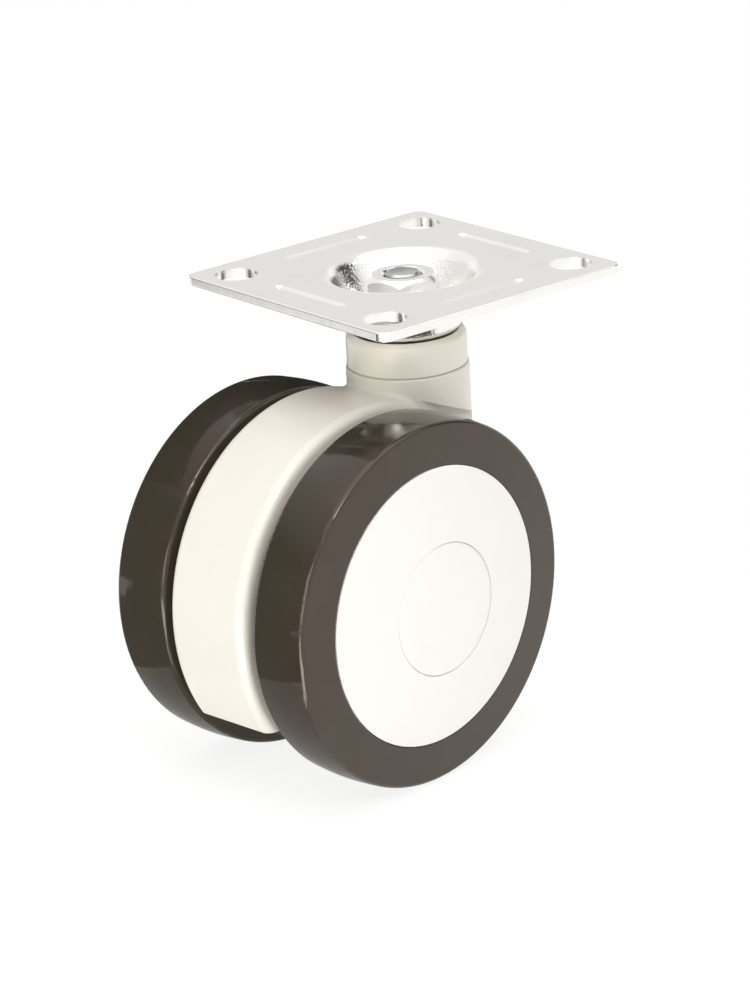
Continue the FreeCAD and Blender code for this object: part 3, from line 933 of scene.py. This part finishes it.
@dataclass
class Wheel:
    """One wheel with its tyre, covers and bearing."""

    side: Side
    axle_centre: Vector
    axle_axis: Vector
    dome_radius: float = 131.55 * MM
    dome_top: float = 30.6 * MM
    dome_shares: tuple[float, ...] = (0.90, 0.78, 0.64, 0.50, 0.36, 0.22, 0.10, 0.03)
    cap_radius: float = 13.88 * MM
    cap_seat: float = 28.953 * MM
    cap_edge_round: float = 0.15 * MM
    cap_edge_middle: float = 0.3
    spigot_radii: Span = (10.97 * MM, 12.17 * MM)
    spigot_foot: float = 26.353 * MM
    steps: int = 96
    smooth_angle: float = math.radians(50.0)
    cap: bpy.types.Object | None = None

    def node(self, piece: str) -> str:
        """Name of one of this wheel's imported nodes."""
        return f"{self.side.value}_{piece}"

    def dome(self, radius: float) -> float:
        """Station of the hub's dome at a radius."""
        return self.dome_top - self.dome_radius + math.sqrt(self.dome_radius**2 - radius**2)

    def build(self) -> None:
        """Model the domed centre cap with its spigot and softened edge."""
        inner, outer = self.spigot_radii
        rim, soft = self.cap_radius, self.cap_edge_round
        middle = self.cap_edge_middle * soft
        self.cap = turned_solid(
            self.node("domed_cap"),
            [
                (inner, self.cap_seat),
                (inner, self.spigot_foot),
                (outer, self.spigot_foot),
                (outer, self.cap_seat),
                (rim, self.cap_seat),
                (rim, self.dome(rim) - soft),
                (rim - middle, self.dome(rim) - middle),
                (rim - soft, self.dome(rim - soft)),
                *((rim * share, self.dome(rim * share)) for share in self.dome_shares),
            ],
            self.steps,
        )
        turn = UP.rotation_difference(self.side.sign * self.axle_axis).to_matrix().to_4x4()
        self.cap.matrix_world = Matrix.Translation(self.axle_centre) @ turn
        pick(self.cap)
        bpy.ops.object.transform_apply(location=True, rotation=True, scale=True)
        bpy.ops.object.shade_smooth_by_angle(angle=self.smooth_angle)
        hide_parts(self.node("centre_cap"))
        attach(self.cap, self.node("wheel"))
        LOG.info("built %s, %d faces", self.cap.name, len(self.cap.data.polygons))

    def dress(self, shared: dict[str, bpy.types.Material]) -> None:
        """Dress every piece of the wheel.

        Args:
            shared: Finishes that both wheels use, by name.
        """
        finishes = {
            "tyre": ["tyre"],
            "cover": ["hub_cover"],
            "core": ["wheel_core"],
            "cage": ["bearing_cage"],
            "steel": [
                "axle_spacer",
                "bearing_inner_race",
                "bearing_outer_race",
                "bearing_shields",
                "bearing_balls",
            ],
            "spring": ["axle_clip"],
        }
        for finish, pieces in finishes.items():
            dress([self.node(piece) for piece in pieces], shared[finish])
        coat(self.cap, shared["cover"])


@dataclass
class PhotoCamera:
    """Camera fitted to the photo's outlines."""

    azimuth: float = math.radians(-38.89)
    elevation: float = math.radians(19.76)
    roll: float = math.radians(-3.26)
    focal_pixels: float = 3663.0
    long_side_pixels: float = 1000.0
    sensor_width: float = 36.0
    distance: float = 757.2 * MM
    offset: Span = (5.716 * MM, 47.771 * MM)
    clip: Span = (0.05, 50.0)

    def build(self) -> None:
        """Make the camera and set it as the scene's own."""
        along, across = math.cos(self.azimuth), math.sin(self.azimuth)
        reach = math.cos(self.elevation)
        back = Vector((across * reach, -along * reach, math.sin(self.elevation)))
        level = Vector((along, across, 0.0))
        upright = back.cross(level)
        right = math.cos(self.roll) * level + math.sin(self.roll) * upright
        up = math.cos(self.roll) * upright - math.sin(self.roll) * level
        place = self.distance * back - self.offset[0] * right - self.offset[1] * up
        data = bpy.data.cameras.new("photo_camera")
        data.sensor_width = self.sensor_width
        data.lens = self.focal_pixels / self.long_side_pixels * self.sensor_width
        data.clip_start, data.clip_end = self.clip
        camera = bpy.data.objects.new("photo_camera", data)
        turn = Matrix((right, up, back)).transposed().to_4x4()
        camera.matrix_world = Matrix.Translation(place) @ turn
        bpy.context.scene.collection.objects.link(camera)
        bpy.context.scene.camera = camera


@dataclass(frozen=True)
class Softbox:
    """Rectangular lamp that points at the caster."""

    name: str
    place: Triple
    size: Span
    power: float


class Lie(Enum):
    """How a reflection card is held."""

    FACING = "facing the caster"
    FLOOR = "flat on the floor"
    LEVEL = "level at its own height"


@dataclass(frozen=True)
class Card:
    """Card that only shows in reflections: dark as a flag, bright as a reflector.

    Its turn is in degrees about Z, and its shade may fade to another along its width.
    """

    name: str
    place: Triple
    size: Span
    shade: float
    lie: Lie = Lie.FACING
    turn: float = 0.0
    fade: float | None = None


def seen_rays(tree: Tree, *kinds: str) -> Socket:
    """Mask that is 1 for some kinds of ray.

    Args:
        tree: The tree that gets the nodes.
        kinds: Light Path's names of the kinds of ray.

    Returns:
        The mask socket.
    """
    path = tree.nodes.new("ShaderNodeLightPath")
    mask, *rest = (path.outputs[f"Is {kind} Ray"] for kind in kinds)
    for other in rest:
        mask = math_node(tree, "MAXIMUM", mask, other)
    return mask


def white_glow(tree: Tree, strength: Socket | float) -> Socket:
    """White emission.

    Args:
        tree: The tree that gets the node.
        strength: Its strength, where 1 is white.

    Returns:
        The shader socket.
    """
    node = tree.nodes.new("ShaderNodeEmission")
    if isinstance(strength, float):
        node.inputs["Strength"].default_value = strength
    else:
        tree.links.new(strength, node.inputs["Strength"])
    return node.outputs["Emission"]


def mixed_shader(tree: Tree, mask: Socket, low: Socket, high: Socket) -> Socket:
    """Mix of two shaders.

    Args:
        tree: The tree that gets the node.
        mask: Socket from 0 to 1.
        low: Shader at 0.
        high: Shader at 1.

    Returns:
        The shader socket.
    """
    node = tree.nodes.new("ShaderNodeMixShader")
    for socket, source in zip(node.inputs, (mask, low, high)):
        tree.links.new(source, socket)
    return node.outputs["Shader"]


@dataclass
class Studio:
    """Pale floor, soft lamps, reflection cards and a white surround."""

    floor_level: float
    aim: Vector
    ambient: float = 0.26
    floor_size: float = 8.0
    floor_tone: Colour = (0.93, 0.93, 0.92)
    floor_glow: float = 0.78
    floor_white: float = 1.10
    table_glow: float = 0.45
    card_lift: float = 0.4 * MM
    card_ends: Span = (-0.5, 0.5)
    card_hidden_from: tuple[str, ...] = ("camera", "diffuse", "shadow", "transmission")
    softboxes: tuple[Softbox, ...] = (
        Softbox("key_softbox", (-0.28, -0.85, 0.78), (0.4, 0.4), 4.0),
        Softbox("side_softbox", (-0.95, -0.35, 0.16), (0.5, 0.5), 2.2),
        Softbox("top_softbox", (-0.10, -0.10, 1.15), (2.2, 2.2), 15.0),
    )
    cards: tuple[Card, ...] = (
        # The plate's flat, beads and dish
        Card("plate_grey_card", (0.885, 1.095, 0.51), (1.0, 0.75), 0.80),
        Card("left_surround", (-1.11, 0.932, 0.39), (2.7, 0.58), 0.80),
        Card("front_surround", (-0.942, -1.12, 0.30), (2.7, 0.40), 0.80),
        Card("right_surround", (1.11, -0.932, 0.39), (2.7, 0.58), 0.80),
        Card("left_bead_card", (-0.078, 0.888, 0.803), (1.3, 0.7), 0.94),
        Card("right_bead_card", (0.8485, 0.0, 0.8485), (1.85, 0.6), 0.82),
        Card("dish_flag", (0.532, -0.113, 0.254), (0.41, 0.27), 0.02),
        # The treads, which mirror the floor, painted shadows on it and what stands low beside the
        # caster
        # Painted shadow: grey sheet on the floor by the wheels, where their contact shadow falls,
        # seen only in reflections
        Card("contact_shadow_card", (-0.065, 0.036, -0.0995), (0.07, 0.128), 0.45, Lie.LEVEL),
        Card("tread_floor_flag", (-0.212, 0.093, 0.0), (0.288, 0.119), 0.1, Lie.FLOOR, 145.0),
        Card(
            "tread_far_floor_flag", (-0.4631, 0.3246, 0.0), (0.389, 0.5), 0.1, Lie.FLOOR, 145.0
        ),
        Card("tread_side_flag", (-0.52, 0.345, -0.03), (0.50, 0.14), 0.12),
        Card("far_side_flag", (-0.185, 0.57, -0.045), (0.40, 0.10), 0.12),
        Card(
            "tread_fade_card", (-0.0799, 0.0254, 0.001), (0.07, 0.23), 0.8, Lie.LEVEL, 145.0, 0.12
        ),
        Card("tread_level_flag", (-0.2871, 0.1707, 0.001), (0.436, 0.23), 0.12, Lie.LEVEL, 145.0),
        Card("far_tread_flag", (0.0275, 0.0855, 0.0005), (0.225, 0.10), 0.03, Lie.LEVEL),
        # Painted shadow: dark sheet on the floor under the plate, where its shadow falls, seen
        # only in reflections of the plate's underside
        Card("plate_shadow_flag", (0.01, 0.135, 0.0), (0.16, 0.06), 0.02, Lie.FLOOR),
        Card("far_rim_flag", (0.078, 0.13, -0.055), (0.125, 0.11), 0.03),
        # Bright strips for the plate's edge and the rims of the tyres
        Card("edge_strip", (0.139, -0.372, 0.42), (0.68, 0.08), 3.2),
        Card("near_glint", (-0.195, -0.080, 0.0), (0.22, 0.07), 7.0, Lie.FLOOR),
        Card("far_glint", (-0.0998, -0.0325, 0.0), (0.052, 0.010), 6.0, Lie.FLOOR, 50.0),
    )

    def build(self) -> None:
        """Make the floor, the lamps, the cards and the world."""
        self._floor()
        for softbox in self.softboxes:
            self._lamp(softbox)
        for card in self.cards:
            self._card(card)
        self._world()
        bpy.context.scene.view_settings.view_transform = "Standard"

    def _facing(self, place: Vector) -> Matrix:
        """Matrix that puts a thing at a place, with its front towards the caster."""
        turn = (self.aim - place).to_track_quat("-Z", "Y").to_matrix()
        return Matrix.Translation(place) @ turn.to_4x4()

    @staticmethod
    def _material(name: str) -> bpy.types.Material:
        """Node material with no nodes yet, for a thing of the stage."""
        material = bpy.data.materials.new(name)
        material.use_nodes = True
        material.node_tree.nodes.clear()
        return material

    @staticmethod
    def _output(tree: Tree, kind: str, surface: Socket) -> None:
        """Link a shader to a new output node of a kind."""
        tree.links.new(surface, tree.nodes.new(kind).inputs["Surface"])

    def _floor(self) -> None:
        """Wide pale floor that keeps a light shadow and looks white to the camera."""
        deselect()
        bpy.ops.mesh.primitive_plane_add(
            size=self.floor_size, location=(0.0, 0.0, self.floor_level)
        )
        floor = bpy.context.object
        floor.name = "studio_floor"
        material = self._material(floor.name)
        tree = material.node_tree
        seen = seen_rays(tree, "Camera", "Glossy")
        matte = tree.nodes.new("ShaderNodeBsdfDiffuse")
        matte.inputs["Color"].default_value = rgba(self.floor_tone)
        shown = mixed_shader(
            tree,
            math_node(tree, "MULTIPLY", seen, self.floor_glow),
            matte.outputs["BSDF"],
            white_glow(tree, self.floor_white),
        )
        unseen = math_node(tree, "SUBTRACT", 1.0, seen)
        table = white_glow(tree, math_node(tree, "MULTIPLY", unseen, self.table_glow))
        both = tree.nodes.new("ShaderNodeAddShader")
        for socket, source in zip(both.inputs, (shown, table)):
            tree.links.new(source, socket)
        self._output(tree, "ShaderNodeOutputMaterial", both.outputs["Shader"])
        floor.data.materials.append(material)
        floor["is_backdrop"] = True

    def _lamp(self, softbox: Softbox) -> None:
        """One soft area lamp.

        Args:
            softbox: Its place, size and power.
        """
        data = bpy.data.lights.new(softbox.name, "AREA")
        data.shape = "RECTANGLE"
        data.size, data.size_y = softbox.size
        data.energy = softbox.power
        lamp = bpy.data.objects.new(softbox.name, data)
        lamp.matrix_world = self._facing(Vector(softbox.place))
        bpy.context.scene.collection.objects.link(lamp)

    def _card(self, card: Card) -> None:
        """One card, seen by reflections alone.

        Args:
            card: Its place, size, shade and how it is held.
        """
        place = Vector(card.place)
        if card.lie is Lie.FLOOR:
            place.z = self.floor_level + self.card_lift
        if card.lie is Lie.FACING:
            stand = self._facing(place)
        else:
            stand = Matrix.Translation(place) @ Matrix.Rotation(math.radians(card.turn), 4, "Z")
        deselect()
        bpy.ops.mesh.primitive_plane_add(size=1.0)
        sheet = bpy.context.object
        sheet.name = card.name
        sheet.matrix_world = stand @ Matrix.Diagonal((*card.size, 1.0, 1.0))
        for ray in self.card_hidden_from:
            setattr(sheet, f"visible_{ray}", False)
        sheet.data.materials.append(self._card_material(card))
        sheet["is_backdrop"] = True

    def _card_material(self, card: Card) -> bpy.types.Material:
        """Even or fading glow of a card.

        Args:
            card: The card, with its shade and fade.

        Returns:
            The material.
        """
        material = self._material(card.name)
        tree = material.node_tree
        strength: Socket | float = card.shade
        if card.fade is not None:
            parts = tree.nodes.new("ShaderNodeSeparateXYZ")
            coordinates = tree.nodes.new("ShaderNodeTexCoord").outputs["Object"]
            tree.links.new(coordinates, parts.inputs["Vector"])
            shades = (card.shade, card.fade)
            strength = range_node(tree, parts.outputs["X"], self.card_ends, shades)
        self._output(tree, "ShaderNodeOutputMaterial", white_glow(tree, strength))
        return material

    def _world(self) -> None:
        """White surround for the camera and reflections, softer light for the rest."""
        world = bpy.data.worlds.new("studio")
        bpy.context.scene.world = world
        world.use_nodes = True
        tree = world.node_tree
        tree.nodes.clear()
        surrounds = []
        for strength in (self.ambient, 1.0):
            surround = tree.nodes.new("ShaderNodeBackground")
            surround.inputs["Color"].default_value = rgba(WHITE)
            surround.inputs["Strength"].default_value = strength
            surrounds.append(surround.outputs["Background"])
        seen = seen_rays(tree, "Camera", "Glossy", "Transmission")
        self._output(tree, "ShaderNodeOutputWorld", mixed_shader(tree, seen, *surrounds))


def joint(name: str) -> dict:
    """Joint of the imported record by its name."""
    return next(entry for entry in frame["joints"] if entry["name"] == name)


def main() -> None:
    """Build and dress the caster, then the studio."""
    logging.basicConfig(level=logging.INFO, format="%(name)s: %(message)s")
    cad_low, cad_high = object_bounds()
    library = EffectLibrary()
    spin = joint("left_wheel_spin")
    axle_centre, axle_axis = Vector(spin["pos_m"]), Vector(spin["axis"])
    TopPlate(library).dress()
    pin = KingPin(library)
    pin.build()
    pin.dress()
    Fork(library, axle_centre, axle_axis).dress()
    shared = {
        "tyre": DARK_TYRE.make(library),
        "cover": IVORY_COVER.make(library),
        "core": WHEEL_BODY.make(library),
        "cage": CAGE_NYLON.make(library),
        "steel": GROUND_STEEL.make(library, axle_centre, axle_axis),
        "spring": BLACK_SPRING.make(library, axle_centre, axle_axis),
    }
    for side in Side:
        wheel = Wheel(side, axle_centre, axle_axis)
        wheel.build()
        wheel.dress(shared)
    Studio(cad_low.z, CASTER_MIDDLE).build()
    PhotoCamera().build()


if __name__ == "__main__":
    main()
